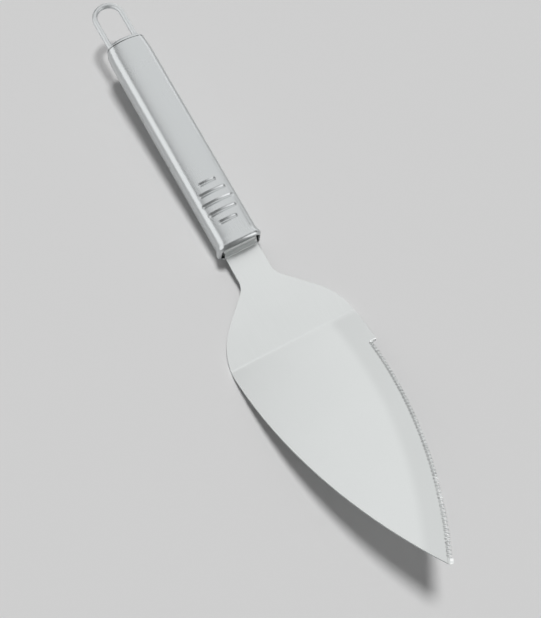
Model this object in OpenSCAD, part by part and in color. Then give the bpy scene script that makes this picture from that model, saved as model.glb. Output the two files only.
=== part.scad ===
// Cake server with a pressed steel blade, one serrated edge, a hollow two-shell
// handle and a wire hanging loop. Lengths are in millimetres, angles in degrees.
// The server lies as it does on a table: +X runs from the loop to the tip,
// +Y points to the serrated edge and +Z points up.

/* [Handle] */
// Length from the mouth rim to the outer face of the tail cap
handle_l = 107.7; // [90:0.1:125]
// Width across the straight side walls
handle_w = 18.8; // [17.4:0.1:22]
// Height of the upper shell, from the side seam to its crown
upper_h = 7.1; // [6.2:0.1:9]
// Height of the lower shell, from the side seam to its belly
lower_h = 7.4; // [6.6:0.1:9]
// Thickness of the pressed shells
wall = 1; // [0.7:0.05:1.2]
// Radius of the crowned top
crown_r = 23; // [16:0.5:40]
// Radius of the corners between the crown and the side walls
crown_corner_r = 3; // [2:0.1:4]
// Radius of the belly
belly_r = 45; // [25:0.5:80]
// Radius of the corners between the belly and the side walls
belly_corner_r = 4; // [2.5:0.1:5]

/* [Mouth] */
// How far the mouth rim flares out past the side walls
flare = 0.6; // [0.2:0.05:0.8]
// Length of the flare
flare_l = 5; // [4:0.1:8]
// Chamfer on the edges of the rim
rim_edge = 0.25; // [0.1:0.05:0.3]
// Depth of the front plate behind the rim
mouth_recess = 1.7; // [0.6:0.1:2.4]
// Thickness of the front plate and the inner plate
plate_t = 1.5; // [1:0.1:2]

/* [Grip] */
// Distance between neighbouring grooves
groove_pitch = 4.7; // [4.4:0.1:5]
// Distance from the rim to the middle groove
groove_middle = 20.6; // [19:0.1:22]
// Reach of the longest groove to each side of the middle line
groove_reach = 6.9; // [6:0.1:7.2]
// Radius of the rounded groove bottom
groove_r = 1.1; // [0.9:0.05:1.3]
// Depth of the grooves
groove_depth = 0.7; // [0.4:0.05:0.8]

/* [Tail] */
// Thickness of the end wall of the tail cap
cap_t = 1.6; // [1.2:0.1:2.2]
// Radius of the rounded edge of the tail cap
cap_edge_r = 0.8; // [0.4:0.05:1]
// Length of the cap's collar inside the shells
collar_l = 4; // [2.5:0.1:6]
// Thickness of the collar
collar_t = 0.6; // [0.4:0.05:0.7]
// Width of the seam between the cap and the shells
seam = 0.2; // [0.1:0.02:0.3]

/* [Hanging loop] */
// Diameter of the wire
wire_d = 2.4; // [2:0.1:2.6]
// Distance between the middles of the two legs
loop_w = 12.6; // [10:0.1:12.8]
// Length of the straight legs outside the cap
leg_l = 15; // [8:0.1:22]
// Length of the leg stubs inside the end wall of the cap
stub_l = 3; // [1.5:0.1:5]
// Height of the wire above the side seam
loop_rise = 0.8; // [-1:0.1:1.5]

/* [Blade] */
// Thickness of the blade sheet
sheet_t = 1.5; // [1.2:0.05:1.8]
// Width of the neck and the tang
neck_w = 15.2; // [12:0.1:15.4]
// Greatest width of the blade
blade_w = 58; // [50:0.5:66]
// Distance from the rim to the crease
shoulder_l = 45.5; // [42:0.5:52]
// Distance from the rim to the widest place
widest_l = 49; // [48:0.5:56]
// Length of the blade from the crease to the tip
front_l = 113.9; // [100:0.1:130]
// Angle that the blade is bent up at the crease
blade_bend = 22.8; // [16:0.2:26]
// Inner radius of the crease
crease_r = 3; // [2:0.1:5]
// Slope of the straight part of the shoulders
shoulder_slope = 45; // [40:1:52]
// Radius between the neck and the shoulders
neck_fillet_r = 8; // [5:0.1:9]
// Radius of the tip
tip_r = 1.7; // [1.4:0.1:3]
// Height of the middle of the tang above the side seam
tang_rise = 1.05; // [0.5:0.05:1.6]
// Length of the tang behind the front plate
tang_l = 34.5; // [33:0.1:38]
// Step down from the tang to the neck
neck_drop = 3.4; // [3:0.1:3.8]
// Slope of the step
step_slope = 75; // [65:1:80]
// Inner radius of the two bends of the step
step_r = 0.5; // [0.4:0.05:0.7]

/* [Serrated edge] */
// Distance from the crease to the first tooth, along the blade
plain_l = 18.2; // [12:0.1:24]
// How far the serrated edge is set in from the plain outline at its start
edge_inset = 1.4; // [0.5:0.1:1.8]
// How far it is set in at the tip
tip_inset = 0.6; // [0.4:0.1:1]
// Spacing of the teeth, seen from above
tooth_pitch = 1.5; // [1.4:0.05:2.2]
// Radius of the ground gullets
gullet_r = 1.2; // [1.1:0.05:1.5]
// Width of the ground band, from the edge inward
band_w = 2; // [1.6:0.1:2.6]
// How deep the gullets notch the lower face
notch = 0.25; // [0.1:0.05:0.4]

/* [Hidden] */

// Facets of small and of wide arcs on screen
$fn = 72;
wide_fn = 720;
// Flat steps in the flare, in each bend of the sheet and in the edge of the cap
flare_steps = 4;
bend_steps = 12;
edge_steps = 6;

// How much the round ends of the grooves swell past the grooves
end_swell = 0.08;
// Clearance between a fitted piece and its seat
fit = 0.05;
// Length that a cut runs past what it cuts
overrun = 1;
// Reach of each groove as a share of groove_reach, from the tail side to the mouth side
reach_shares = [0.58, 0.89, 1, 0.91, 0.62];
// Radius of the serrated edge as a share of the radius of the plain side
edge_r_share = 0.885;

satin_light = [0.83, 0.85, 0.85];
satin_mid = [0.74, 0.76, 0.77];
satin_dark = [0.55, 0.57, 0.58];

// Handle
half_w = handle_w / 2;
deep = handle_w + overrun;
shell_end = -handle_l + cap_t + seam;
inset = wall + fit;

// Grooves: the tool's path round the crown's centre, and half a groove's width
groove_path_r = crown_r + groove_r - groove_depth;
groove_half_w = sqrt(groove_r * groove_r - pow(groove_r - groove_depth, 2));
ridge_turn = asin(groove_r / crown_r);

// Outline of the flare along the handle, growing with the square of the distance
flare_line = [
    for (i = [0 : flare_steps])
        [flare * pow(i / flare_steps, 2), (flare_l - rim_edge) * i / flare_steps - flare_l],
];

// Blade in side view, heights from the side seam
neck_z = tang_rise - neck_drop;
tang_end = -mouth_recess - plate_t - tang_l;
step_mid_r = step_r + sheet_t / 2;
step_straight = (neck_drop - 2 * step_mid_r * (1 - cos(step_slope))) / sin(step_slope);
step_run = 2 * step_mid_r * sin(step_slope) + step_straight * cos(step_slope);
crease_mid_r = crease_r + sheet_t / 2;
crease_run = crease_mid_r * tan(blade_bend / 2);
step_top = [-mouth_recess, tang_rise - step_mid_r];
step_foot = [step_run - mouth_recess, neck_z + step_mid_r];
crease_centre = [shoulder_l - crease_run, neck_z + crease_mid_r];

// Blade seen from above
half_blade = blade_w / 2;
half_neck = neck_w / 2;
tip_x = shoulder_l + front_l * cos(blade_bend);
tip_centre = tip_x - tip_r;
side_run = tip_centre - widest_l;
side_r = (side_run * side_run + half_blade * half_blade - tip_r * tip_r)
    / (2 * (half_blade - tip_r));
side_centre = side_r - half_blade;
tip_tangent = widest_l + side_run * side_r / (side_r - tip_r);
shoulder_x = widest_l - half_blade * sin(shoulder_slope);
shoulder_y = half_blade * cos(shoulder_slope);
neck_end = shoulder_x - (shoulder_y - half_neck) / tan(shoulder_slope);
fillet_run = neck_fillet_r * tan(shoulder_slope / 2);

// Serrated edge seen from above: an arc between a place at the step and one at the tip,
// each set in from the plain side
function set_in(x, inset) = [
    widest_l + (side_r - inset) * (x - widest_l) / side_r,
    (side_r - inset) * cos(asin((x - widest_l) / side_r)) - side_centre,
];
edge_start = shoulder_l + plain_l * cos(blade_bend);
edge_from = set_in(edge_start, edge_inset);
edge_to = set_in(tip_centre, tip_inset);
edge_r = side_r * edge_r_share;
edge_chord = edge_to - edge_from;
edge_depth = sqrt(pow(edge_r, 2) - pow(norm(edge_chord) / 2, 2));
edge_centre = (edge_from + edge_to) / 2 + edge_depth / norm(edge_chord) * [edge_chord[1], -edge_chord[0]];

// Teeth
first_tooth = asin((edge_start + tooth_pitch / 2 - edge_centre[0]) / edge_r);
last_tooth = asin((tip_centre - edge_centre[0]) / edge_r);
tooth_turn = tooth_pitch / edge_r * 180 / PI;
tooth_count = floor((last_tooth - first_tooth) / tooth_turn) + 1;
grind = atan(sheet_t / band_w);

// Hanging loop
loop_r = loop_w / 2;
bend_x = -handle_l - leg_l;
stub_end = -handle_l + cap_t + stub_l;

// Rest on the table: the lower rim of the mouth and the crease touch it
rim_x = -rim_edge;
rim_z = -lower_h - flare;
crease_out_r = crease_r + sheet_t;
crease_x = crease_centre[0];
crease_z = crease_centre[1];
rest_span = norm([crease_x - rim_x, rim_z - crease_z]);
tilt = asin(-crease_out_r / rest_span) - atan2(rim_z - crease_z, crease_x - rim_x);
rest_z = rim_x * sin(tilt) - rim_z * cos(tilt);
tip_top = neck_z + (tip_x - shoulder_l) * tan(blade_bend) + sheet_t / 2 / cos(blade_bend);
front_end = tip_x * cos(tilt) + tip_top * sin(tilt);
back_end = (bend_x - loop_r) * cos(tilt) + loop_rise * sin(tilt) - wire_d / 2;
middle_x = (front_end + back_end) / 2;

// Puts a piece, drawn along the handle's axis with the rim at zero, down on the table
module at_rest() {
    translate([-middle_x, 0, rest_z])
        rotate([0, tilt, 0])
            children();
}

// Turns a section across the handle, drawn flat with its depth along Z, to run along X
module along_handle() {
    rotate([90, 0, 90])
        children();
}

// Height of the corner's centre above the side seam in one half of the section
function corner_y(height, top_r, corner_r) =
    height - top_r + sqrt(pow(top_r - corner_r, 2) - pow(half_w - corner_r, 2));

// Angle above level at which the corner runs into the top arc
function top_angle(top_r, corner_r) = acos((half_w - corner_r) / (top_r - corner_r));

// One half of the handle as a filled body, running a little way past the seam. The child
// is the profile along the handle: x is the distance outside the outer face, y is the
// place along the axis
module half_body(height, top_r, corner_r) {
    corner = corner_y(height, top_r, corner_r);
    difference() {
        intersection() {
            translate([0, height - top_r, 0])
                rotate_extrude($fn = wide_fn)
                    intersection() {
                        translate([top_r, 0])
                            children();
                        translate([0, -2 * handle_l])
                            square([2 * top_r, 3 * handle_l]);
                    }
            translate([0, height + overrun, 0])
                rotate([90, 0, 0])
                    linear_extrude(height = height + 2 * overrun)
                        intersection() {
                            translate([half_w, 0])
                                children();
                            mirror([1, 0])
                                translate([half_w, 0])
                                    children();
                        }
        }
        for (side = [0, 1])
            mirror([side, 0, 0])
                translate([half_w - corner_r, floor(corner), 0])
                    translate([0, corner - floor(corner), 0])
                        rotate_extrude(angle = top_angle(top_r, corner_r))
                            difference() {
                                translate([corner_r / 2, -2 * handle_l])
                                    square([corner_r, 3 * handle_l]);
                                translate([corner_r, 0])
                                    children();
                            }
    }
}

// Both halves of the handle as one filled body
module whole_body() {
    half_body(upper_h, crown_r, crown_corner_r)
        children();
    mirror([0, 1, 0])
        half_body(lower_h, belly_r, belly_corner_r)
            children();
}

// Profile of a straight filled length of the handle, set in from the outer face
module straight_profile(depth, back_x, front_x) {
    translate([-deep, back_x])
        square([deep - depth, front_x - back_x]);
}

// Outer face of the shells, with a chamfer at the rim
module outer_profile() {
    polygon([
        [-deep, shell_end],
        [0, shell_end],
        for (p = flare_line) p,
        [flare - rim_edge, 0],
        [-deep, 0],
    ]);
}

// Inner face of the shells, with a chamfer at the rim
module inner_profile() {
    polygon([
        [-deep, shell_end - overrun],
        [-wall, shell_end - overrun],
        for (p = flare_line) p - [wall, 0],
        [flare - wall + rim_edge, 0],
        [flare - wall + rim_edge, overrun],
        [-deep, overrun],
    ]);
}

// Pressed half shell without grooves
module half_shell(height, top_r, corner_r) {
    difference() {
        half_body(height, top_r, corner_r)
            outer_profile();
        half_body(height, top_r, corner_r)
            inner_profile();
        translate([-handle_w, -handle_w, -2 * handle_l])
            cube([2 * handle_w, handle_w, 3 * handle_l]);
    }
}

// A bar bent round the crown's centre
module crown_bar(bar_r, path_r, half_angle) {
    rotate([0, 0, 90 - half_angle])
        rotate_extrude(angle = 2 * half_angle, $fn = wide_fn)
            translate([path_r, 0])
                circle(r = bar_r);
}

// Balls that round the two ends of such a bar
module bar_ends(bar_r, path_r, half_angle) {
    for (side = [-1, 1])
        rotate([0, 0, 90 + side * half_angle])
            translate([path_r, 0, 0])
                sphere(r = bar_r);
}

// Angle from the middle line to the middle of the round end of each groove
function groove_angle(i) =
    asin((reach_shares[i] * groove_reach - groove_half_w) / crown_r);

// Place of each groove along the handle
function groove_x(i) = -groove_middle + (i - (len(reach_shares) - 1) / 2) * groove_pitch;

// Pressed upper shell: each groove shows as a ridge inside
module handle_upper_shell() {
    color(satin_mid)
        at_rest()
            along_handle()
                difference() {
                    union() {
                        half_shell(upper_h, crown_r, crown_corner_r);
                        translate([0, upper_h - crown_r, 0])
                            intersection() {
                                for (i = [0 : len(reach_shares) - 1])
                                    translate([0, 0, groove_x(i)])
                                        crown_bar(groove_r + wall, groove_path_r, groove_angle(i) + ridge_turn);
                                translate([0, 0, -handle_l])
                                    cylinder(r = crown_r - wall / 2, h = handle_l, $fn = wide_fn);
                            }
                    }
                    translate([0, upper_h - crown_r, 0])
                        for (i = [0 : len(reach_shares) - 1])
                            translate([0, 0, groove_x(i)]) {
                                crown_bar(groove_r, groove_path_r, groove_angle(i));
                                bar_ends(groove_r + end_swell, groove_path_r, groove_angle(i));
                            }
                }
}

// Pressed lower shell
module handle_lower_shell() {
    color(satin_mid)
        at_rest()
            along_handle()
                mirror([0, 1, 0])
                    half_shell(lower_h, belly_r, belly_corner_r);
}

// Profile of a plate that fills the shells, with its edge following their inner face
module plate_profile(front_x) {
    intersection() {
        translate([-fit, 0])
            inner_profile();
        straight_profile(0, front_x - plate_t, front_x);
    }
}

// A plate that fills the shells and holds the tang in a slot
module slotted_plate(front_x) {
    at_rest()
        difference() {
            along_handle()
                whole_body()
                    plate_profile(front_x);
            translate([front_x - plate_t - overrun, -half_neck - fit, tang_rise - sheet_t / 2 - fit])
                cube([plate_t + 2 * overrun, neck_w + 2 * fit, sheet_t + 2 * fit]);
        }
}

// Plate that closes the mouth
module front_plate() {
    color(satin_dark)
        slotted_plate(-mouth_recess);
}

// Plate inside the handle that carries the far end of the tang
module inner_plate() {
    color(satin_dark)
        slotted_plate(tang_end + 2 * plate_t);
}

// End wall of the cap with its rounded edge
module cap_profile() {
    polygon([
        [-deep, 0],
        for (i = [0 : edge_steps])
            cap_edge_r * [sin(90 * i / edge_steps) - 1, 1 - cos(90 * i / edge_steps)],
        [0, cap_t],
        [-deep, cap_t],
    ]);
}

// Pressed tail cap: an end wall with a rounded edge, a collar and two leg holes
module tail_cap() {
    color(satin_mid)
        at_rest()
            difference() {
                translate([-handle_l, 0, 0])
                    along_handle() {
                        whole_body()
                            cap_profile();
                        difference() {
                            whole_body()
                                straight_profile(inset, cap_edge_r, cap_t + collar_l);
                            whole_body()
                                straight_profile(inset + collar_t, cap_t, cap_t + collar_l + overrun);
                        }
                    }
                for (side = [-1, 1])
                    translate([-handle_l - overrun, side * loop_r, loop_rise])
                        rotate([0, 90, 0])
                            cylinder(d = wire_d + 2 * fit, h = cap_t + 2 * overrun);
            }
}

// Bent wire loop with two stubs through the cap
module hanging_loop() {
    color(satin_light)
        at_rest()
            translate([0, 0, loop_rise]) {
                translate([bend_x, 0, 0])
                    rotate([0, 0, 90])
                        rotate_extrude(angle = 180)
                            translate([loop_r, 0])
                                circle(d = wire_d);
                for (side = [-1, 1])
                    translate([bend_x, side * loop_r, 0])
                        rotate([0, 90, 0])
                            cylinder(d = wire_d, h = stub_end - bend_x);
            }
}

// Place on a bend about a centre where a line of the given slope touches it
function on_bend(centre, radius, slope) = centre + radius * [sin(slope), -cos(slope)];

// Points round a bend, from one slope to the other
function bend(centre, radius, from, to) = [
    for (i = [0 : bend_steps])
        on_bend(centre, radius, from + (to - from) * i / bend_steps),
];

// Line along the sheet in side view, from the tang to the tip, raised above its middle
function sheet_line(rise) = concat(
    [[tang_end, tang_rise + rise]],
    bend(step_top, -step_mid_r - rise, 0, -step_slope),
    bend(step_foot, step_mid_r - rise, -step_slope, 0),
    bend(crease_centre, crease_mid_r - rise, 0, blade_bend),
    [on_bend(crease_centre, crease_mid_r - rise, blade_bend) + front_l * [cos(blade_bend), sin(blade_bend)]]
);

// Side view of the bent sheet
module bent_sheet() {
    lower = sheet_line(-sheet_t / 2);
    upper = sheet_line(sheet_t / 2);
    polygon(concat(lower, [for (i = [len(upper) - 1 : -1 : 0]) upper[i]]));
}

// Outline seen from above, without the serrated edge
module plain_outline() {
    translate([tang_end, -half_neck])
        square([widest_l - tang_end, neck_w]);
    intersection() {
        translate([widest_l, 0])
            circle(r = half_blade, $fn = wide_fn);
        translate([shoulder_x, -half_blade])
            square([half_blade, blade_w]);
    }
    polygon([
        [shoulder_x, shoulder_y],
        [neck_end, half_neck],
        [neck_end, -half_neck],
        [shoulder_x, -shoulder_y],
    ]);
    for (side = [0, 1])
        mirror([0, side])
            difference() {
                polygon([
                    [neck_end - fillet_run, half_neck],
                    [neck_end, half_neck],
                    [neck_end + fillet_run * cos(shoulder_slope), half_neck + fillet_run * sin(shoulder_slope)],
                ]);
                translate([neck_end - fillet_run, half_neck + neck_fillet_r])
                    circle(r = neck_fillet_r, $fn = wide_fn);
            }
    intersection() {
        translate([widest_l, -side_centre])
            circle(r = side_r, $fn = wide_fn);
        translate([widest_l, side_centre])
            circle(r = side_r, $fn = wide_fn);
        translate([widest_l, -half_blade])
            square([tip_tangent - widest_l, blade_w]);
    }
    translate([tip_centre, 0])
        circle(r = tip_r);
}

// Outline with the serrated edge set in
module blade_outline() {
    difference() {
        plain_outline();
        difference() {
            translate([edge_start, 0])
                square([tip_x - edge_start + overrun, half_blade + overrun]);
            translate(edge_centre)
                circle(r = edge_r, $fn = wide_fn);
        }
    }
}

// Ground gullet of one tooth: x points out of the edge, z out of the upper face
module gullet() {
    translate([-notch, 0, -sheet_t / 2])
        rotate([0, grind, 0])
            translate([-sheet_t / sin(grind) - overrun, 0, gullet_r])
                rotate([0, 90, 0])
                    cylinder(r = gullet_r, h = sheet_t / sin(grind) + 3 * overrun);
}

// Every second gullet along the serrated edge, so that no two of them meet
module gullets(first) {
    translate([shoulder_l, 0, neck_z])
        rotate([0, -blade_bend, 0])
            for (i = [first : 2 : tooth_count - 1]) {
                turn = first_tooth + i * tooth_turn;
                from_crease = edge_centre[0] + edge_r * sin(turn) - shoulder_l;
                translate([from_crease / cos(blade_bend), edge_centre[1] + edge_r * cos(turn), 0])
                    rotate([0, 0, atan2(cos(turn) / cos(blade_bend), sin(turn))])
                        gullet();
            }
}

// Blade, shoulders, neck and tang, pressed from one sheet
module blade() {
    color(satin_light)
        at_rest()
            difference() {
                difference() {
                    intersection() {
                        rotate([90, 0, 0])
                            linear_extrude(height = blade_w + 2 * overrun, center = true)
                                bent_sheet();
                        translate([0, 0, neck_z - sheet_t])
                            linear_extrude(height = front_l)
                                blade_outline();
                    }
                    gullets(0);
                }
                gullets(1);
            }
}

blade();
handle_upper_shell();
handle_lower_shell();
front_plate();
inner_plate();
tail_cap();
hanging_loop();
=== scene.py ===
"""Looks of the cake server: pressed shells, domed cap, softened blade, steel and studio.

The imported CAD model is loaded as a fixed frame. The two shells are modelled anew with soft
pressed grooves and a rolled rim, and the tail cap with a bulging face. The blade is its CAD
solid with softened edges. The plates and the wire loop keep their CAD meshes, and every piece
gets a procedural steel. The pieces' sizes are in millimetres in the handle's own axes: x runs
along the handle with the mouth rim at zero, z up from the side seam. The studio is in metres.
"""

import logging
import math
from collections.abc import Callable
from dataclasses import dataclass, field
from enum import Enum
from functools import cached_property

import bmesh
import bpy
from mathutils import Matrix, Vector

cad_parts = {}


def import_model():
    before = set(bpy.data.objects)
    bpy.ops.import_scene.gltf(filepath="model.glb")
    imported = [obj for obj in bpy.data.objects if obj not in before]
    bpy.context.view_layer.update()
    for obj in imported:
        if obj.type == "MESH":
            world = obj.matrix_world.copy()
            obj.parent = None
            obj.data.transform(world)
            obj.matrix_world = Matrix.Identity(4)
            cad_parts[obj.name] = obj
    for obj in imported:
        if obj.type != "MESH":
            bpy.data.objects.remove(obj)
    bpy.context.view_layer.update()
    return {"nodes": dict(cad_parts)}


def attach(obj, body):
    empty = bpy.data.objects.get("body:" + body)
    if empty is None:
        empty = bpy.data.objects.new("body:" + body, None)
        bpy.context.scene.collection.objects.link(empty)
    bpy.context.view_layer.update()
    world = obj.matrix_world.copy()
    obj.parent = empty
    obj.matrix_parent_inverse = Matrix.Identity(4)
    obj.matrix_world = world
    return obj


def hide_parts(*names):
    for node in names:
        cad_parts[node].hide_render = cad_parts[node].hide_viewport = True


LOG = logging.getLogger("cake_server")
ROOT = "root"
MM = 0.001
NEAR = 0.001  # millimetres between two places that count as one
MERGE = 0.002  # millimetres between two CAD vertices that become one
ROUND_STEPS = 2  # faces across a rounded edge
SETTLE_ROUNDS = 4  # rounds until two linked values settle
SMOOTH_ANGLE = 24.0  # degrees up to which two faces are shaded as one
BAND_INPUTS = ("Centre X", "Centre Y", "Radius", "Width", "Blur", "Start")
TOOTH_INPUTS = ("Centre X", "Centre Y", "First", "Turn")

Tree = bpy.types.NodeTree
Socket = bpy.types.NodeSocket
Material = bpy.types.Material
Piece = bpy.types.Object
Edge = bmesh.types.BMEdge


@dataclass(frozen=True)
class Rest:
    """How the handle's own axes lie when the server rests on the table.

    Args:
        tilt: Angle in degrees by which the handle slopes down towards the mouth.
        place: Place of the mouth rim's middle at the height of the side seam, in millimetres.
    """

    tilt: float = 6.182102
    place: tuple[float, float, float] = (-12.424524, 0.0, 7.926555)

    def matrix(self) -> Matrix:
        """Returns the matrix from millimetres in the handle's axes to metres in the room."""
        turn = Matrix.Rotation(math.radians(self.tilt), 4, "Y")
        return Matrix.Scale(MM, 4) @ Matrix.Translation(self.place) @ turn


REST = Rest()


class Direction(Enum):
    """The way in which polishing lines run: lines per metre along and across the handle."""

    ALONG = (60.0, 5200.0)
    ACROSS = (5200.0, 160.0)


class Change(Enum):
    """How a band changes a value, as Blender's name of the operation."""

    SCALED = "MULTIPLY"
    RAISED = "ADD"


@dataclass(frozen=True)
class SteelFinish:
    """A satin steel finish.

    Args:
        name: Name of the material.
        colour: Base colour, linear red, green and blue. It differs between pieces of the one
            steel as painted light and shade.
        roughness: Middle roughness of the surface.
        lines: The way in which the polishing lines run.
        line_depth: Strength of the polishing lines, from 0 to 1.
        cloud: How far the roughness wanders over the surface.
    """

    name: str
    colour: tuple[float, float, float]
    roughness: float
    lines: Direction
    line_depth: float
    cloud: float


# All five are one steel: their base colours differ only as painted light and shade, each set to how
# bright its piece looks under the light, the blade lightest, the shells and cap darkest.
BLADE_STEEL = SteelFinish("blade_steel", (0.72, 0.74, 0.735), 0.30, Direction.ALONG, 0.22, 0.03)
SHELL_STEEL = SteelFinish("shell_steel", (0.58, 0.60, 0.605), 0.28, Direction.ALONG, 0.20, 0.04)
CAP_STEEL = SteelFinish("cap_steel", (0.57, 0.59, 0.595), 0.27, Direction.ACROSS, 0.16, 0.03)
# The plate's base colour is lowered to paint the shade inside the handle's mouth.
PLATE_STEEL = SteelFinish("plate_steel", (0.62, 0.64, 0.64), 0.60, Direction.ACROSS, 0.30, 0.05)
WIRE_STEEL = SteelFinish("wire_steel", (0.66, 0.68, 0.685), 0.45, Direction.ALONG, 0.10, 0.02)


def calculate(tree: Tree, operation: str, *values: Socket | float) -> Socket:
    """Adds a math node.

    Args:
        tree: Node tree that gets the node.
        operation: Blender's name of the operation.
        values: Socket or number for each input, in order.

    Returns:
        The output socket.
    """
    node = tree.nodes.new("ShaderNodeMath")
    node.operation = operation
    for place, value in enumerate(values):
        if isinstance(value, (int, float)):
            node.inputs[place].default_value = value
        else:
            tree.links.new(value, node.inputs[place])
    return node.outputs[0]


@dataclass
class NodeGroups:
    """Shader node groups that the steel materials share.

    Args:
        line_sets: Sets of polishing lines: output, factor on the lines per metre, and detail.
        line_grain: Roughness of the noise that draws the lines.
        cloud_scale: Clouds per metre.
        cloud_detail: Detail of the clouds.
        cloud_twist: Distortion of the clouds.
    """

    line_sets: tuple[tuple[str, float, float], ...] = (("Lines", 1.0, 3.0), ("Fine", 2.3, 2.0))
    line_grain: float = 0.6
    cloud_scale: float = 45.0
    cloud_detail: float = 4.0
    cloud_twist: float = 0.6

    @staticmethod
    def _group(name: str, inputs: tuple[str, ...], outputs: tuple[str, ...]) -> Tree:
        """Makes an empty group with a vector input, number inputs and number outputs.

        Args:
            name: Name of the group.
            inputs: Names of the number inputs.
            outputs: Names of the number outputs.

        Returns:
            The new group with its input and output nodes.
        """
        tree = bpy.data.node_groups.new(name, "ShaderNodeTree")
        tree.interface.new_socket("Vector", in_out="INPUT", socket_type="NodeSocketVector")
        for label in inputs:
            tree.interface.new_socket(label, in_out="INPUT", socket_type="NodeSocketFloat")
        for label in outputs:
            tree.interface.new_socket(label, in_out="OUTPUT", socket_type="NodeSocketFloat")
        tree.nodes.new("NodeGroupInput").name = "in"
        tree.nodes.new("NodeGroupOutput").name = "out"
        return tree

    @staticmethod
    def _way(tree: Tree) -> tuple[Socket, Socket, Socket]:
        """Adds the way from an arc's centre to the shaded place, seen from above.

        Args:
            tree: A group with the inputs Vector, Centre X and Centre Y.

        Returns:
            The place along the handle, and the way from the centre along and across it.
        """
        inside = tree.nodes["in"]
        split = tree.nodes.new("ShaderNodeSeparateXYZ")
        tree.links.new(inside.outputs["Vector"], split.inputs[0])
        run = calculate(tree, "SUBTRACT", split.outputs[0], inside.outputs["Centre X"])
        rise = calculate(tree, "SUBTRACT", split.outputs[1], inside.outputs["Centre Y"])
        return split.outputs[0], run, rise

    @cached_property
    def polish(self) -> Tree:
        """The group of fine polishing lines.

        Returns:
            A group with the inputs Along and Across, in lines per metre, and the outputs
            Lines, from 0 to 1, and Fine, a closer set of lines.
        """
        tree = self._group("polish_lines", ("Along", "Across"), ("Lines", "Fine"))
        inside, outside = tree.nodes["in"], tree.nodes["out"]
        for label, factor, detail in self.line_sets:
            along = calculate(tree, "MULTIPLY", inside.outputs["Along"], factor)
            across = calculate(tree, "MULTIPLY", inside.outputs["Across"], factor)
            stretch = tree.nodes.new("ShaderNodeCombineXYZ")
            for place, density in enumerate((along, across, across)):
                tree.links.new(density, stretch.inputs[place])
            scaled = tree.nodes.new("ShaderNodeVectorMath")
            scaled.operation = "MULTIPLY"
            tree.links.new(inside.outputs["Vector"], scaled.inputs[0])
            tree.links.new(stretch.outputs[0], scaled.inputs[1])
            noise = tree.nodes.new("ShaderNodeTexNoise")
            noise.inputs["Scale"].default_value = 1.0
            noise.inputs["Detail"].default_value = detail
            noise.inputs["Roughness"].default_value = self.line_grain
            tree.links.new(scaled.outputs[0], noise.inputs["Vector"])
            tree.links.new(noise.outputs[0], outside.inputs[label])
        return tree

    @cached_property
    def cloud(self) -> Tree:
        """The group of soft clouds, such as handling leaves on satin steel.

        Returns:
            A group with the output Cloud, from about -1 to 1.
        """
        tree = self._group("handling_cloud", (), ("Cloud",))
        noise = tree.nodes.new("ShaderNodeTexNoise")
        noise.inputs["Scale"].default_value = self.cloud_scale
        noise.inputs["Detail"].default_value = self.cloud_detail
        noise.inputs["Distortion"].default_value = self.cloud_twist
        tree.links.new(tree.nodes["in"].outputs["Vector"], noise.inputs["Vector"])
        centred = calculate(tree, "SUBTRACT", noise.outputs[0], 0.5)
        doubled = calculate(tree, "MULTIPLY", centred, 2.0)
        tree.links.new(doubled, tree.nodes["out"].inputs["Cloud"])
        return tree

    @cached_property
    def arc_band(self) -> Tree:
        """The group that masks a band along the inside of an arc, seen from above.

        Returns:
            A group with the inputs Centre X, Centre Y, Radius, Width, Blur and Start, in
            metres, and the output Mask, which is 1 in the band.
        """
        tree = self._group("arc_band", BAND_INPUTS, ("Mask",))
        inside, outside = tree.nodes["in"], tree.nodes["out"]
        place, run, rise = self._way(tree)
        run_square = calculate(tree, "MULTIPLY", run, run)
        rise_square = calculate(tree, "MULTIPLY", rise, rise)
        reach = calculate(tree, "SQRT", calculate(tree, "ADD", run_square, rise_square))
        inner = calculate(tree, "SUBTRACT", inside.outputs["Radius"], inside.outputs["Width"])
        depth = calculate(tree, "SUBTRACT", reach, inner)
        ahead = calculate(tree, "SUBTRACT", place, inside.outputs["Start"])
        masks = []
        for distance in (depth, ahead):
            soft = tree.nodes.new("ShaderNodeMapRange")
            soft.interpolation_type = "SMOOTHSTEP"
            soft.inputs["From Min"].default_value = -0.5
            soft.inputs["From Max"].default_value = 0.5
            share = calculate(tree, "DIVIDE", distance, inside.outputs["Blur"])
            tree.links.new(share, soft.inputs["Value"])
            masks.append(soft.outputs[0])
        tree.links.new(calculate(tree, "MULTIPLY", *masks), outside.inputs["Mask"])
        return tree

    @cached_property
    def tooth_rhythm(self) -> Tree:
        """The group that repeats along an arc, once for each ground tooth.

        Returns:
            A group with the inputs Centre X, Centre Y in metres, First and Turn in radians,
            and the output Tooth, which is 1 in the middle of a gullet and 0 between two.
        """
        tree = self._group("tooth_rhythm", TOOTH_INPUTS, ("Tooth",))
        inside, outside = tree.nodes["in"], tree.nodes["out"]
        _, run, rise = self._way(tree)
        angle = calculate(tree, "ARCTAN2", run, rise)
        past = calculate(tree, "SUBTRACT", angle, inside.outputs["First"])
        count = calculate(tree, "DIVIDE", past, inside.outputs["Turn"])
        wave = calculate(tree, "COSINE", calculate(tree, "MULTIPLY", count, 2 * math.pi))
        half = calculate(tree, "MULTIPLY", wave, 0.5)
        tree.links.new(calculate(tree, "ADD", half, 0.5), outside.inputs["Tooth"])
        return tree


@dataclass(frozen=True)
class ArcBand:
    """A band along the inside of the serrated edge's arc, with painted shade or highlight.

    Args:
        width: Width of the band in millimetres.
        blur: Width of its soft border in millimetres.
        start: Where the band starts along the handle's axis, in millimetres.
        tone: Factor on the base colour in the band; below 1 paints shade, above 1 a highlight.
        rougher: Step in roughness in the band.
        painted_glint: Further step in the base colour in the middle of each tooth's gullet:
            a painted glint.
    """

    width: float
    blur: float
    start: float
    tone: float
    rougher: float
    painted_glint: float = 0.0


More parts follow.
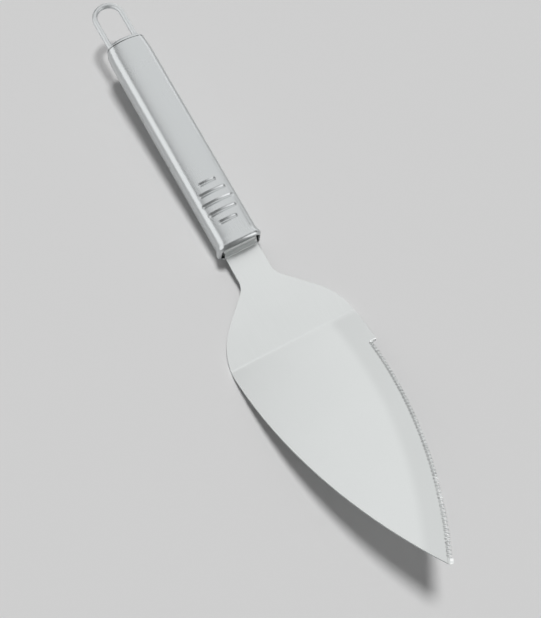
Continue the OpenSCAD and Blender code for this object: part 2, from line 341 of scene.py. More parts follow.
@dataclass(frozen=True)
class EdgeArc:
    """Arc of the serrated edge seen from above, in millimetres.

    Args:
        centre: Its centre along and across the handle.
        radius: Its radius.
        start: Where the first tooth starts along the handle.
        pitch: Distance between neighbouring teeth.
    """

    centre: tuple[float, float]
    radius: float
    start: float
    pitch: float = 1.5


@dataclass
class Finisher:
    """Makes the steel materials and dresses pieces in them.

    Args:
        groups: Node groups that the materials share.
        line_range: Values of the polishing lines that count as their bottom and top.
        darker: Share of the colour that lines of full strength take away at their bottom.
        lighter: Share of the colour that they add at their top.
        line_rough: How far lines of full strength make the roughness wander.
        line_bump: Strength of the bump of lines of full strength.
        line_height: Height of the lines in metres.
    """

    groups: NodeGroups = field(default_factory=NodeGroups)
    line_range: tuple[float, float] = (0.25, 0.75)
    darker: float = 0.10
    lighter: float = 0.06
    line_rough: float = 0.16
    line_bump: float = 0.5
    line_height: float = 0.00002

    def material(
        self, finish: SteelFinish, arc: EdgeArc | None = None, bands: tuple[ArcBand, ...] = ()
    ) -> Material:
        """Makes a satin steel material.

        Args:
            finish: The finish.
            arc: Arc that the bands follow.
            bands: Bands in which the finish differs.

        Returns:
            The material.
        """
        material = bpy.data.materials.new(finish.name)
        material.use_nodes = True
        tree = material.node_tree
        shader = tree.nodes["Principled BSDF"]
        shader.inputs["Metallic"].default_value = 1.0
        place = self._place(tree)
        lines = self._add_group(tree, self.groups.polish, place)
        lines.inputs["Along"].default_value = finish.lines.value[0]
        lines.inputs["Across"].default_value = finish.lines.value[1]
        cloud = self._add_group(tree, self.groups.cloud, place)

        brightness = self._line_tone(tree, lines.outputs["Lines"], finish.line_depth)
        wander = self.line_rough * finish.line_depth
        lowest = finish.roughness - wander / 2
        fine = calculate(tree, "MULTIPLY_ADD", lines.outputs["Fine"], wander, lowest)
        roughness = calculate(tree, "MULTIPLY_ADD", cloud.outputs["Cloud"], finish.cloud, fine)
        # Each band paints shade or highlight into the base colour and steps the roughness.
        for band in bands:
            mask = self._mask(tree, place, arc, band)
            brightness = self._step(tree, brightness, mask, band.tone - 1.0, Change.SCALED)
            roughness = self._step(tree, roughness, mask, band.rougher, Change.RAISED)
            if band.painted_glint:
                # A painted glint in the middle of each gullet.
                tooth = self._tooth(tree, place, arc, mask)
                brightness = self._step(tree, brightness, tooth, band.painted_glint, Change.SCALED)

        colour = tree.nodes.new("ShaderNodeVectorMath")
        colour.operation = "SCALE"
        colour.inputs[0].default_value = finish.colour
        tree.links.new(brightness, colour.inputs["Scale"])
        tree.links.new(colour.outputs[0], shader.inputs["Base Color"])
        tree.links.new(roughness, shader.inputs["Roughness"])

        bump = tree.nodes.new("ShaderNodeBump")
        bump.inputs["Strength"].default_value = self.line_bump * finish.line_depth
        bump.inputs["Distance"].default_value = self.line_height
        tree.links.new(lines.outputs["Lines"], bump.inputs["Height"])
        tree.links.new(bump.outputs[0], shader.inputs["Normal"])
        return material

    @staticmethod
    def _place(tree: Tree) -> Socket:
        """Adds the shaded place in the handle's own axes.

        Args:
            tree: Node tree of the material.

        Returns:
            Socket with the place, in metres.
        """
        room = tree.nodes.new("ShaderNodeTexCoord")
        mapping = tree.nodes.new("ShaderNodeMapping")
        mapping.vector_type = "TEXTURE"
        mapping.inputs["Location"].default_value = [MM * v for v in REST.place]
        mapping.inputs["Rotation"].default_value = (0.0, math.radians(REST.tilt), 0.0)
        tree.links.new(room.outputs["Object"], mapping.inputs["Vector"])
        return mapping.outputs[0]

    @staticmethod
    def _add_group(tree: Tree, group: Tree, place: Socket) -> bpy.types.Node:
        """Adds a shared group at the shaded place.

        Args:
            tree: Node tree of the material.
            group: The group.
            place: Socket with the place in the handle's axes.

        Returns:
            The group's node.
        """
        node = tree.nodes.new("ShaderNodeGroup")
        node.node_tree = group
        tree.links.new(place, node.inputs["Vector"])
        return node

    def _line_tone(self, tree: Tree, lines: Socket, depth: float) -> Socket:
        """Adds the factor by which the polishing lines change the base colour.

        Args:
            tree: Node tree of the material.
            lines: Socket with the lines.
            depth: Strength of the lines.

        Returns:
            Socket with the factor.
        """
        tone = tree.nodes.new("ShaderNodeMapRange")
        tone.inputs["From Min"].default_value = self.line_range[0]
        tone.inputs["From Max"].default_value = self.line_range[1]
        tone.inputs["To Min"].default_value = 1.0 - self.darker * depth
        tone.inputs["To Max"].default_value = 1.0 + self.lighter * depth
        tree.links.new(lines, tone.inputs["Value"])
        return tone.outputs[0]

    def _mask(self, tree: Tree, place: Socket, arc: EdgeArc, band: ArcBand) -> Socket:
        """Adds the mask of a band.

        Args:
            tree: Node tree of the material.
            place: Socket with the place in the handle's axes.
            arc: Arc that the band follows.
            band: The band.

        Returns:
            The mask's socket.
        """
        node = self._add_group(tree, self.groups.arc_band, place)
        values = (*arc.centre, arc.radius, band.width, band.blur, band.start)
        for label, value in zip(BAND_INPUTS, values):
            node.inputs[label].default_value = value * MM
        return node.outputs["Mask"]

    def _tooth(self, tree: Tree, place: Socket, arc: EdgeArc, mask: Socket) -> Socket:
        """Adds the rhythm of the teeth inside a mask.

        Args:
            tree: Node tree of the material.
            place: Socket with the place in the handle's axes.
            arc: Arc of the serrated edge.
            mask: Socket with the mask.

        Returns:
            Socket with the mask in the gullets only.
        """
        node = self._add_group(tree, self.groups.tooth_rhythm, place)
        first = math.asin((arc.start + arc.pitch / 2 - arc.centre[0]) / arc.radius)
        values = (arc.centre[0] * MM, arc.centre[1] * MM, first, arc.pitch / arc.radius)
        for label, value in zip(TOOTH_INPUTS, values):
            node.inputs[label].default_value = value
        return calculate(tree, "MULTIPLY", node.outputs["Tooth"], mask)

    @staticmethod
    def _step(tree: Tree, value: Socket, mask: Socket, size: float, change: Change) -> Socket:
        """Changes a value inside a mask.

        Args:
            tree: Node tree of the material.
            value: Socket with the value.
            mask: Socket with the mask.
            size: How far the value steps inside the mask.
            change: Whether the value is scaled by one plus the step or raised by the step.

        Returns:
            Socket with the changed value.
        """
        outside = 1.0 if change is Change.SCALED else 0.0
        share = calculate(tree, "MULTIPLY_ADD", mask, size, outside)
        return calculate(tree, change.value, value, share)

    @staticmethod
    def dress(piece: Piece, material: Material) -> None:
        """Covers a piece with one material."""
        piece.data.materials.clear()
        piece.data.materials.append(material)


class Bench:
    """Steps of modelling by hand that several pieces share."""

    @staticmethod
    def take(piece: Piece) -> None:
        """Makes a piece the only selected and active one.

        Args:
            piece: The piece.
        """
        bpy.ops.object.select_all(action="DESELECT")
        piece.select_set(True)
        bpy.context.view_layer.objects.active = piece

    @staticmethod
    def face_outwards(piece: Piece) -> None:
        """Turns all faces of a piece to the same side, outwards where it is closed.

        Args:
            piece: The piece.
        """
        Bench.take(piece)
        bpy.ops.object.mode_set(mode="EDIT")
        bpy.ops.mesh.select_all(action="SELECT")
        bpy.ops.mesh.normals_make_consistent(inside=False)
        bpy.ops.object.mode_set(mode="OBJECT")

    @staticmethod
    def round_edges(piece: Piece, wanted: Callable[[Edge], bool], width: float) -> None:
        """Rounds the edges for which the test holds.

        Args:
            piece: The piece.
            wanted: Test that picks the edges.
            width: Width of the rounding in the mesh's own unit.
        """
        Bench.take(piece)
        bpy.ops.object.mode_set(mode="EDIT")
        bpy.ops.mesh.select_mode(type="EDGE")
        bpy.ops.mesh.select_all(action="DESELECT")
        mesh = bmesh.from_edit_mesh(piece.data)
        for edge in mesh.edges:
            edge.select_set(wanted(edge))
        bmesh.update_edit_mesh(piece.data)
        bpy.ops.mesh.bevel(offset=width, segments=ROUND_STEPS, clamp_overlap=True)
        bpy.ops.object.mode_set(mode="OBJECT")

    @staticmethod
    def copy_solid(node: Piece, name: str) -> Piece:
        """Copies a CAD solid as a closed mesh.

        Args:
            node: The CAD node.
            name: Name of the copy.

        Returns:
            The copy, with no material.
        """
        piece = bpy.data.objects.new(name, node.data.copy())
        bpy.context.scene.collection.objects.link(piece)
        piece.data.materials.clear()
        Bench.take(piece)
        bpy.ops.object.mode_set(mode="EDIT")
        bpy.ops.mesh.select_all(action="SELECT")
        bpy.ops.mesh.remove_doubles(threshold=MERGE * MM)
        bpy.ops.object.mode_set(mode="OBJECT")
        return piece

    @staticmethod
    def finish(piece: Piece, node: str, slot: str, material: Material) -> None:
        """Shades a finished piece, lets it stand for its CAD node and reports it.

        Args:
            piece: The piece.
            node: Name of the CAD node.
            slot: Material slot of the record; not used.
            material: The material.
        """
        Bench.take(piece)
        bpy.ops.object.shade_smooth_by_angle(angle=math.radians(SMOOTH_ANGLE))
        weigh = piece.modifiers.new("weigh", "WEIGHTED_NORMAL")
        weigh.keep_sharp = True
        bpy.ops.object.modifier_apply(modifier=weigh.name)
        Finisher.dress(piece, material)
        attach(piece, ROOT)
        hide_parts(node)
        LOG.info("modelled %s with %d faces", piece.name, len(piece.data.polygons))


@dataclass(frozen=True)
class Grooves:
    """Short pressed grooves across the crown.

    Args:
        middle: Place of the middle groove along the handle.
        pitch: Distance between neighbouring grooves.
        reaches: Reach of each groove to both sides of the middle line, from the tail side.
        half_width: Half the width of a groove with its soft shoulders.
        depth: Depth of the grooves.
        end_out: How far the middle of a groove's round end lies beyond its usual place.
        shoulder: Power that shapes the shoulders. A higher one makes them softer.
    """

    middle: float = -20.6
    pitch: float = 4.7
    reaches: tuple[float, ...] = (4.0, 6.14, 6.9, 6.28, 4.28)
    half_width: float = 1.05
    depth: float = 0.5
    end_out: float = 0.3
    shoulder: float = 1.5

    def sink(self, x: float, y: float) -> float:
        """Finds how far the surface is pressed in.

        Args:
            x: Place along the handle.
            y: Place across the handle.

        Returns:
            The depth there, which is zero away from the grooves.
        """
        first = self.middle - (len(self.reaches) - 1) / 2 * self.pitch
        deepest = 0.0
        for number, reach in enumerate(self.reaches):
            past_end = max(0.0, abs(y) - (reach - self.half_width + self.end_out))
            distance = math.hypot(x - first - number * self.pitch, past_end) / self.half_width
            if distance < 1.0:
                fall = math.cos(distance * math.pi / 2) ** self.shoulder
                deepest = max(deepest, self.depth * fall)
        return deepest

    def zone(self) -> tuple[float, float]:
        """Returns the ends of the grooved length."""
        half = (len(self.reaches) - 1) / 2 * self.pitch + 2 * self.half_width
        return self.middle - half, self.middle + half


@dataclass(frozen=True)
class HalfSection:
    """Half of the handle's outer section: wall, rounded corner, and arc of crown or belly.

    Args:
        height: Height above the side seam.
        arc_r: Radius of the arc.
        corner_r: Radius of the corner.
        arc_steps: Number of steps over the arc.
        half_width: Half the width of the handle.
        wall_steps: Number of steps up each wall.
        corner_steps: Number of steps over each corner.
    """

    height: float
    arc_r: float
    corner_r: float
    arc_steps: int
    half_width: float = 9.4
    wall_steps: int = 4
    corner_steps: int = 10

    def points(self) -> list[tuple[Vector, Vector]]:
        """Works out the points of the section.

        Returns:
            The places and outward normals from the +y seam over the arc to the -y seam.
        """
        lean = math.acos((self.half_width - self.corner_r) / (self.arc_r - self.corner_r))
        rise = self.height - self.arc_r + (self.arc_r - self.corner_r) * math.sin(lean)
        half = []
        for k in range(self.wall_steps):
            place = Vector((0.0, self.half_width, rise * k / self.wall_steps))
            half.append((place, Vector((0.0, 1.0, 0.0))))
        centre = Vector((0.0, self.half_width - self.corner_r, rise))
        for k in range(self.corner_steps):
            angle = lean * k / self.corner_steps
            out = Vector((0.0, math.cos(angle), math.sin(angle)))
            half.append((centre + self.corner_r * out, out))
        centre = Vector((0.0, 0.0, self.height - self.arc_r))
        for k in range(self.arc_steps // 2 + 1):
            angle = lean + (math.pi / 2 - lean) * 2 * k / self.arc_steps
            out = Vector((0.0, math.cos(angle), math.sin(angle)))
            half.append((centre + self.arc_r * out, out))
        turned = [(Vector((0.0, -p.y, p.z)), Vector((0.0, -n.y, n.z))) for p, n in half[-2::-1]]
        return half + turned


CROWN = HalfSection(height=7.1, arc_r=23.0, corner_r=4.2, arc_steps=56)
BELLY = HalfSection(height=7.4, arc_r=45.0, corner_r=4.0, arc_steps=24)


@dataclass(frozen=True)
class TailTaper:
    """How the handle narrows before its tail end.

    Args:
        start: Where the narrowing starts along the handle.
        end: The tail end of the cap.
        share: Share of the width that is gone at the end.
    """

    start: float = -98.0
    end: float = -107.7
    share: float = 0.08

    def scale(self, x: float) -> float:
        """Returns the factor on the width at a place along the handle."""
        return 1.0 - self.share * (max(0.0, self.start - x) / (self.start - self.end)) ** 2


TAPER = TailTaper()


@dataclass
class PressedShell:
    """One pressed half of the hollow handle, from the seam up or from the seam down.

    Args:
        name: Name of the piece.
        node: Name of the CAD node that it stands for.
        half: Half of the section that it follows.
        up: 1 for the upper shell and -1 for the lower one.
        grooves: Grooves that are pressed into it.
        wall: Thickness of the sheet.
        back: Where the shell ends at the tail.
        flare: How far the walls flare out before the lip.
        flare_l: Length of the flare.
        crown_flare: Share of the flare on the crown or belly.
        flare_steps: Number of steps over the flare.
        lip_r: Radius of the rolled lip.
        lip_turn: Angle in degrees to which the lip turns in.
        lip_steps: Number of steps over the lip.
        seam_round: Width of the rounding of the edges at the seam and at the tail.
        sharp: Angle in radians from which such an edge is rounded.
        step: Distance between stations on a plain length.
        tail_step: Distance between stations where the handle narrows.
        fine_step: Distance between stations on the grooved length.
    """

    name: str
    node: str
    half: HalfSection
    up: int
    grooves: Grooves | None = None
    wall: float = 0.72
    back: float = -105.9
    flare: float = 0.6
    flare_l: float = 5.0
    crown_flare: float = 0.2
    flare_steps: int = 12
    lip_r: float = 1.9
    lip_turn: float = 66.0
    lip_steps: int = 14
    seam_round: float = 0.1
    sharp: float = 0.9
    step: float = 3.0
    tail_step: float = 0.6
    fine_step: float = 0.22

    def lip(self, flare: float) -> tuple[float, float]:
        """Finds where the rolled lip starts.

        Args:
            flare: How far the outer face flares before the lip.

        Returns:
            The slope of the flare at the lip in radians, and the lip's start along the handle.
        """
        lean, start = 0.0, 0.0
        for _ in range(SETTLE_ROUNDS):
            start = -self.lip_r * (math.sin(lean) + math.sin(math.radians(self.lip_turn)))
            lean = math.atan(2 * flare / (start + self.flare_l))
        return lean, start

    def stations(self) -> list[tuple[float, float, float]]:
        """Works out the section's stations from the tail to the mouth.

        Returns:
            For each, the place along the handle, and the shares of the flare and of the lip
            that are passed there.
        """
        marks = [(self.back, self.tail_step), (TAPER.start, self.step)]
        if self.grooves:
            low, high = self.grooves.zone()
            marks += [(low, self.fine_step), (high, self.step)]
        marks.append((-self.flare_l, 0.0))
        places = []
        for (start, step), (end, _) in zip(marks, marks[1:]):
            count = max(1, round((end - start) / step))
            places += [(start + (end - start) * k / count, 0.0, 0.0) for k in range(count)]
        places += [(0.0, k / self.flare_steps, 0.0) for k in range(self.flare_steps + 1)]
        return places + [(0.0, 1.0, (k + 1) / self.lip_steps) for k in range(self.lip_steps)]

    def profile(self, station: tuple[float, float, float], side: float) -> tuple[float, float]:
        """Finds a point of the outer face along the handle.

        Args:
            station: A station, as stations() gives it.
            side: How far the face looks sideways there, from 0 on the crown to 1 on a wall.

        Returns:
            The place along the handle, and how far the face is pushed out.
        """
        x, run, roll = station
        if x < 0.0:
            return x, 0.0
        flare = self.flare * (self.crown_flare + (1.0 - self.crown_flare) * side)
        lean, start = self.lip(flare)
        if roll == 0.0:
            return -self.flare_l + run * (start + self.flare_l), flare * run**2
        turn = -lean + (math.radians(self.lip_turn) + lean) * roll
        ahead = self.lip_r * (math.sin(turn) + math.sin(lean))
        return start + ahead, flare - self.lip_r * (math.cos(lean) - math.cos(turn))

    def skin(self) -> Piece:
        """Bends a grid into the outer face of the shell.

        Returns:
            The open outer face, in millimetres in the handle's axes.
        """
        section, stations = self.half.points(), self.stations()
        rows, columns = len(stations) - 1, len(section) - 1
        bpy.ops.object.select_all(action="DESELECT")
        bpy.ops.mesh.primitive_grid_add(x_subdivisions=rows, y_subdivisions=columns, size=1.0)
        piece = bpy.context.object
        piece.name = self.name
        for vertex in piece.data.vertices:
            station = stations[round((vertex.co.x + 0.5) * rows)]
            place, out = section[round((vertex.co.y + 0.5) * columns)]
            x, push = self.profile(station, abs(out.y))
            if self.grooves:
                push -= self.grooves.sink(x, place.y)
            moved = place + push * out
            vertex.co = Vector((x, TAPER.scale(x) * moved.y, self.up * moved.z))
        return piece

    def _open_edge(self, edge: Edge) -> bool:
        """Tells whether an edge is rounded: a sharp one at the seam or at the tail.

        Args:
            edge: The edge.

        Returns:
            True for such an edge.
        """
        at_seam = all(abs(v.co.z) < NEAR for v in edge.verts)
        at_tail = all(v.co.x < self.back + NEAR for v in edge.verts)
        return edge.calc_face_angle(0.0) > self.sharp and (at_seam or at_tail)

    def build(self, material: Material) -> None:
        """Models the shell.

        Args:
            material: Its material.
        """
        piece = self.skin()
        Bench.face_outwards(piece)
        halfway = self.back / 2
        crown = min(piece.data.polygons, key=lambda f: abs(f.center.x - halfway) + abs(f.center.y))
        if crown.normal.z * self.up < 0:
            piece.data.flip_normals()
        solid = piece.modifiers.new("wall", "SOLIDIFY")
        solid.thickness = self.wall
        solid.offset = -1.0
        solid.use_even_offset = True
        bpy.ops.object.modifier_apply(modifier=solid.name)
        Bench.round_edges(piece, self._open_edge, self.seam_round)
        piece.data.transform(REST.matrix())
        Bench.finish(piece, self.node, "handle_steel", material)


@dataclass
class DomedCap:
    """The thin end piece that closes the tail: its face bulges and its edge is rounded.

    Args:
        seam: Where the cap meets the shells along the handle.
        end: Its furthest point.
        chamfer: Width of the chamfer at the seam.
        rim_in: Inset of the ring that keeps the chamfer crisp.
        rim_l: Distance from the seam to the ring on the straight rim.
        edge_r: Radius of the rounded edge.
        edge_steps: Number of steps over the rounded edge.
        inner_share: Share of the section at the ring in the inner face.
        face_share: Share of the section at the outermost ring in the outer face.
        face_steps: Number of steps from that ring to the middle.
        slack: Share of the thickness that the bulge takes away at the sides.
        bulge_power: Power of the bulge. A higher one keeps more of the middle flat.
        bore_r: Radius of the two bores for the legs of the loop.
        bore_y: Distance of the bores from the middle.
        bore_z: Height of the bores above the side seam.
        bore_l: Length of the cut, which runs past the cap at both ends.
        bore_sides: Number of sides of the cutter.
    """

    seam: float = -106.1
    end: float = -107.7
    chamfer: float = 0.05
    rim_in: float = 0.25
    rim_l: float = 0.4
    edge_r: float = 0.9
    edge_steps: int = 8
    inner_share: float = 0.5
    face_share: float = 0.75
    face_steps: int = 5
    slack: float = 0.72
    bulge_power: float = 2.6
    bore_r: float = 1.25
    bore_y: float = 6.3
    bore_z: float = 0.8
    bore_l: float = 6.0
    bore_sides: int = 48

    def bore(self, piece: Piece) -> None:
        """Cuts the two bores for the legs of the loop.

        Args:
            piece: The cap, in millimetres in the handle's axes.
        """
        for side in (-1, 1):
            bpy.ops.object.select_all(action="DESELECT")
            bpy.ops.mesh.primitive_cylinder_add(
                vertices=self.bore_sides,
                radius=self.bore_r,
                depth=self.bore_l,
                location=((self.seam + self.end) / 2, side * self.bore_y, self.bore_z),
                rotation=(0.0, math.pi / 2, 0.0),
            )
            cutter = bpy.context.object
            Bench.take(piece)
            cut = piece.modifiers.new("bore", "BOOLEAN")
            cut.operation = "DIFFERENCE"
            cut.solver = "EXACT"
            cut.object = cutter
            bpy.ops.object.modifier_apply(modifier=cut.name)
            bpy.data.objects.remove(cutter, do_unlink=True)

    def rings(self) -> list[tuple[float, float, float]]:
        """Works out the rings from the inner face's middle to the outer face's middle.

        Returns:
            For each, the place along the handle, the share of the section that is left, and
            the inset from the section.
        """
        rings = [(self.seam, 0.0, 0.0), (self.seam, self.inner_share, 0.0)]
        rings += [(self.seam, 1.0, self.rim_in), (self.seam, 1.0, self.chamfer)]
        rings += [(self.seam - self.chamfer, 1.0, 0.0), (self.seam - self.rim_l, 1.0, 0.0)]
        for k in range(self.edge_steps + 1):
            turn = math.pi / 2 * k / self.edge_steps
            x = self.end + self.edge_r * (1.0 - math.sin(turn))
            rings.append((x, 1.0, self.edge_r * (1.0 - math.cos(turn))))
        for k in range(self.face_steps, -1, -1):
            rings.append((self.end, self.face_share * k / self.face_steps, 0.0))
        return rings

    def build(self, material: Material) -> None:
        """Models the cap from a sphere whose rings follow the handle's section.

        Args:
            material: Its material.
        """
        lower = [(Vector((0.0, p.y, -p.z)), Vector((0.0, n.y, -n.z))) for p, n in BELLY.points()]
        section = CROWN.points() + lower[::-1][1:-1]
        rings = self.rings()
        count, last = len(section), len(rings) - 1
        bpy.ops.object.select_all(action="DESELECT")
        bpy.ops.mesh.primitive_uv_sphere_add(segments=count, ring_count=last)
        piece = bpy.context.object
        piece.name = "tail_cap_domed"
        for vertex in piece.data.vertices:
            polar = math.acos(max(-1.0, min(1.0, vertex.co.z)))
            x, share, inset = rings[round(polar / math.pi * last)]
            around = math.atan2(vertex.co.y, vertex.co.x) / (2 * math.pi) * count
            place, out = section[round(around) % count]
            place = share * place - inset * out
            sideways = min(1.0, abs(place.y) / CROWN.half_width)
            bulge = self.slack * sideways**self.bulge_power
            x = self.seam - (self.seam - x) * (1.0 - bulge)
            vertex.co = Vector((x, TAPER.scale(self.seam) * place.y, place.z))
        Bench.face_outwards(piece)
        self.bore(piece)
        piece.data.transform(REST.matrix())
        Bench.finish(piece, "tail_cap", "cap_steel", material)


@dataclass
class Handle:
    """The hollow handle: two pressed shells, the plates, the tail cap and the wire loop.

    Args:
        finisher: Maker of the materials.
        upper: The upper shell, with the grooves.
        lower: The lower shell.
        cap: The tail cap.
    """

    finisher: Finisher
    upper: PressedShell = field(
        default_factory=lambda: PressedShell(
            "upper_shell_pressed", "handle_upper_shell", CROWN, up=1, grooves=Grooves()
        )
    )
    lower: PressedShell = field(
        default_factory=lambda: PressedShell(
            "lower_shell_pressed", "handle_lower_shell", BELLY, up=-1
        )
    )
    cap: DomedCap = field(default_factory=DomedCap)

    def build(self, nodes: dict[str, Piece]) -> None:
        """Models the shells and the cap and dresses the other pieces.

        Args:
            nodes: The CAD nodes by name.
        """
        steel = self.finisher.material(SHELL_STEEL)
        for shell in (self.upper, self.lower):
            shell.build(steel)
        self.cap.build(self.finisher.material(CAP_STEEL))
        plate, wire = self.finisher.material(PLATE_STEEL), self.finisher.material(WIRE_STEEL)
        for name, cover in (("front_plate", plate), ("inner_plate", plate), ("hanging_loop", wire)):
            self.finisher.dress(nodes[name], cover)
            LOG.info("dressed %s", name)


@dataclass
class Blade:
    """The pressed blade with its ground, serrated edge.

    Args:
        finisher: Maker of the materials.
        arc: Arc of the serrated edge.
        bands: Bands along it: a broad, soft one of painted shade, the ground one, rougher and
            painted darker as shade, its outermost part, painted lighter with a glint in each
            gullet, and two of painted highlight towards the tip.
        edge_round: Width of the rounding of sharp edges.
        teeth_reach: Distance from the serrated edge within which edges stay sharp.
        sharp: Angle in radians from which an edge is rounded.
    """

    finisher: Finisher
    arc: EdgeArc = EdgeArc(centre=(57.07, -147.794), radius=175.026, start=62.278)
    bands: tuple[ArcBand, ...] = (
        # Tones below 1 are painted shade and above 1 painted highlight; the third band also paints
        # a glint into each gullet.
        ArcBand(width=9.5, blur=4.5, start=46.0, tone=0.91, rougher=0.02),
        ArcBand(width=2.1, blur=0.3, start=62.0, tone=0.82, rougher=0.03),
        ArcBand(width=1.15, blur=0.5, start=61.4, tone=1.15, rougher=0.03, painted_glint=0.35),
        ArcBand(width=1.8, blur=0.5, start=98.0, tone=1.14, rougher=0.0),
        ArcBand(width=1.8, blur=0.5, start=122.0, tone=1.14, rougher=0.0),
    )
    edge_round: float = 0.12
    teeth_reach: float = 3.2
    sharp: float = 0.8

    def _soft(self, edge: Edge) -> bool:
        """Tells whether an edge of the copy is rounded: a sharp one away from the teeth.

        Args:
            edge: The edge.

        Returns:
            True for such an edge.
        """
        if edge.calc_face_angle(0.0) < self.sharp:
            return False
        back = REST.matrix().inverted()
        for vertex in edge.verts:
            place = back @ vertex.co
            reach = math.hypot(place.x - self.arc.centre[0], place.y - self.arc.centre[1])
            past_start = place.x > self.arc.start - self.teeth_reach
            if past_start and reach > self.arc.radius - self.teeth_reach:
                return False
        return True

    def build(self, nodes: dict[str, Piece]) -> None:
        """Softens the blade's edges and dresses it.

        Args:
            nodes: The CAD nodes by name.
        """
        piece = Bench.copy_solid(nodes["blade"], "blade_softened")
        Bench.round_edges(piece, self._soft, self.edge_round * MM)
        material = self.finisher.material(BLADE_STEEL, self.arc, self.bands)
        Bench.finish(piece, "blade", "blade_steel", material)


@dataclass(frozen=True)
class Lamp:
    """A soft rectangular lamp that the steel mirrors and that doesn't light the floor.

    Args:
        name: Name of the lamp.
        toward: Direction from the object to the lamp.
        distance: Distance from the object.
        size: Width and height of the lamp.
        glow: Radiance of the lamp's face, where 1 shows as white.
    """

    name: str
    toward: tuple[float, float, float]
    distance: float
    size: tuple[float, float]
    glow: float

    def place(self) -> None:
        """Adds the lamp, turned to the object."""
        data = bpy.data.lights.new(self.name, "AREA")
        data.shape = "RECTANGLE"
        data.size, data.size_y = self.size
        data.energy = self.glow * math.pi * self.size[0] * self.size[1]
        lamp = bpy.data.objects.new(self.name, data)
        bpy.context.scene.collection.objects.link(lamp)
        way = Vector(self.toward).normalized()
        lamp.location = way * self.distance
        lamp.rotation_mode = "QUATERNION"
        lamp.rotation_quaternion = way.to_track_quat("Z", "Y")
        lamp.visible_diffuse = False
        LOG.info("placed %s", lamp.name)


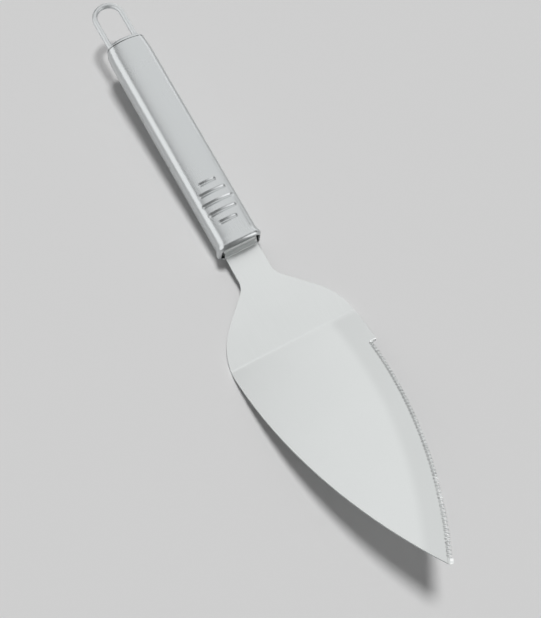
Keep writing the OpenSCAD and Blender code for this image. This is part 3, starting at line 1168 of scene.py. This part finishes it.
@dataclass
class Studio:
    """Floor, lamps, surroundings and camera, in metres.

    Args:
        floor_size: Width of the floor.
        floor_colour: Level of its grey.
        floor_roughness: Its roughness.
        world_level: Radiance of the surroundings, as the object and the floor see them.
        background_level: Radiance of the surroundings, as the camera sees them.
        key_toward: Direction to the key light.
        key_strength: Strength of the key light.
        key_angle: Apparent width of the key light in degrees, which softens the shadow.
        camera_place: Place of the camera.
        azimuth: Angle in degrees from which the camera looks, round the vertical axis.
        elevation: Angle in degrees from which it looks, above the floor.
        roll: Angle in degrees by which it is rolled.
        focal_pixels: Its focal length in pixels of the photograph.
        image_height: Height of the photograph in pixels.
        clip: Nearest and furthest distance that it sees.
        lamps: The lamps and cards that the steel mirrors.
    """

    floor_size: float = 6.0
    floor_colour: float = 0.78
    floor_roughness: float = 0.9
    world_level: float = 0.22
    background_level: float = 0.62
    key_toward: tuple[float, float, float] = (-0.16, 0.14, 0.975)
    key_strength: float = 1.85
    key_angle: float = 13.0
    camera_place: tuple[float, float, float] = (0.16328, -0.09038, 0.40174)
    azimuth: float = 58.8867
    elevation: float = 66.7124
    roll: float = 2.0659
    focal_pixels: float = 1052.21
    image_height: int = 618
    clip: tuple[float, float] = (0.01, 20.0)
    lamps: tuple[Lamp, ...] = (
        Lamp("soft_box", (-0.46, 0.40, 0.80), distance=1.2, size=(1.35, 2.0), glow=0.79),
        Lamp("back_card", (-0.97, 0.22, 0.05), distance=1.3, size=(1.6, 0.45), glow=0.66),
        Lamp("far_card", (-0.45, 0.88, 0.06), distance=1.3, size=(1.6, 0.6), glow=0.85),
        Lamp("side_strip", (-0.20, -0.84, 0.54), distance=0.9, size=(1.6, 0.95), glow=1.08),
        Lamp("front_card", (0.66, 0.60, 0.42), distance=0.9, size=(0.62, 0.75), glow=1.4),
    )

    def lay_floor(self) -> None:
        """Adds the plain pale floor, which isn't part of the object."""
        bpy.ops.object.select_all(action="DESELECT")
        bpy.ops.mesh.primitive_plane_add(size=self.floor_size)
        floor = bpy.context.object
        floor.name = "floor"
        material = bpy.data.materials.new("floor_paper")
        material.use_nodes = True
        shader = material.node_tree.nodes["Principled BSDF"]
        shader.inputs["Base Color"].default_value = (self.floor_colour,) * 3 + (1.0,)
        shader.inputs["Roughness"].default_value = self.floor_roughness
        shader.inputs["Specular IOR Level"].default_value = 0.0
        floor.data.materials.append(material)

    def light(self) -> None:
        """Adds the key light, which the steel doesn't mirror, and the lamps."""
        data = bpy.data.lights.new("key_light", "SUN")
        data.energy = self.key_strength
        data.angle = math.radians(self.key_angle)
        key = bpy.data.objects.new("key_light", data)
        bpy.context.scene.collection.objects.link(key)
        key.rotation_mode = "QUATERNION"
        key.rotation_quaternion = Vector(self.key_toward).to_track_quat("Z", "Y")
        key.visible_glossy = False
        LOG.info("placed %s", key.name)
        for lamp in self.lamps:
            lamp.place()

    def surround(self) -> None:
        """Adds the even surroundings, which the camera sees lighter than the object does."""
        world = bpy.data.worlds.new("studio")
        world.use_nodes = True
        tree = world.node_tree
        background = tree.nodes["Background"]
        background.inputs["Color"].default_value = (1.0, 1.0, 1.0, 1.0)
        seen = tree.nodes.new("ShaderNodeLightPath")
        level = tree.nodes.new("ShaderNodeMapRange")
        level.inputs["To Min"].default_value = self.world_level
        level.inputs["To Max"].default_value = self.background_level
        tree.links.new(seen.outputs["Is Camera Ray"], level.inputs["Value"])
        tree.links.new(level.outputs[0], background.inputs["Strength"])
        bpy.context.scene.world = world

    def aim(self) -> None:
        """Adds the camera at the photograph's viewing angle."""
        turn, rise, roll = (math.radians(v) for v in (self.azimuth, self.elevation, self.roll))
        level = math.cos(rise)
        back = Vector((math.sin(turn) * level, -math.cos(turn) * level, math.sin(rise)))
        right = Vector((math.cos(turn), math.sin(turn), 0.0))
        up = back.cross(right)
        side = right * math.cos(roll) + up * math.sin(roll)
        top = up * math.cos(roll) - right * math.sin(roll)
        data = bpy.data.cameras.new("camera")
        data.lens = self.focal_pixels * data.sensor_width / self.image_height
        data.clip_start, data.clip_end = self.clip
        camera = bpy.data.objects.new("camera", data)
        bpy.context.scene.collection.objects.link(camera)
        rotation = Matrix((side, top, back)).transposed().to_4x4()
        camera.matrix_world = Matrix.Translation(Vector(self.camera_place)) @ rotation
        bpy.context.scene.camera = camera

    def build(self) -> None:
        """Builds the whole studio."""
        self.lay_floor()
        self.light()
        self.surround()
        self.aim()


def main() -> None:
    """Builds the looks round the CAD frame."""
    logging.basicConfig(level=logging.INFO, format="%(name)s: %(message)s")
    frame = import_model()
    bpy.context.scene.view_settings.view_transform = "Standard"
    finisher = Finisher()
    Blade(finisher).build(frame["nodes"])
    Handle(finisher).build(frame["nodes"])
    Studio().build()


if __name__ == "__main__":
    main()
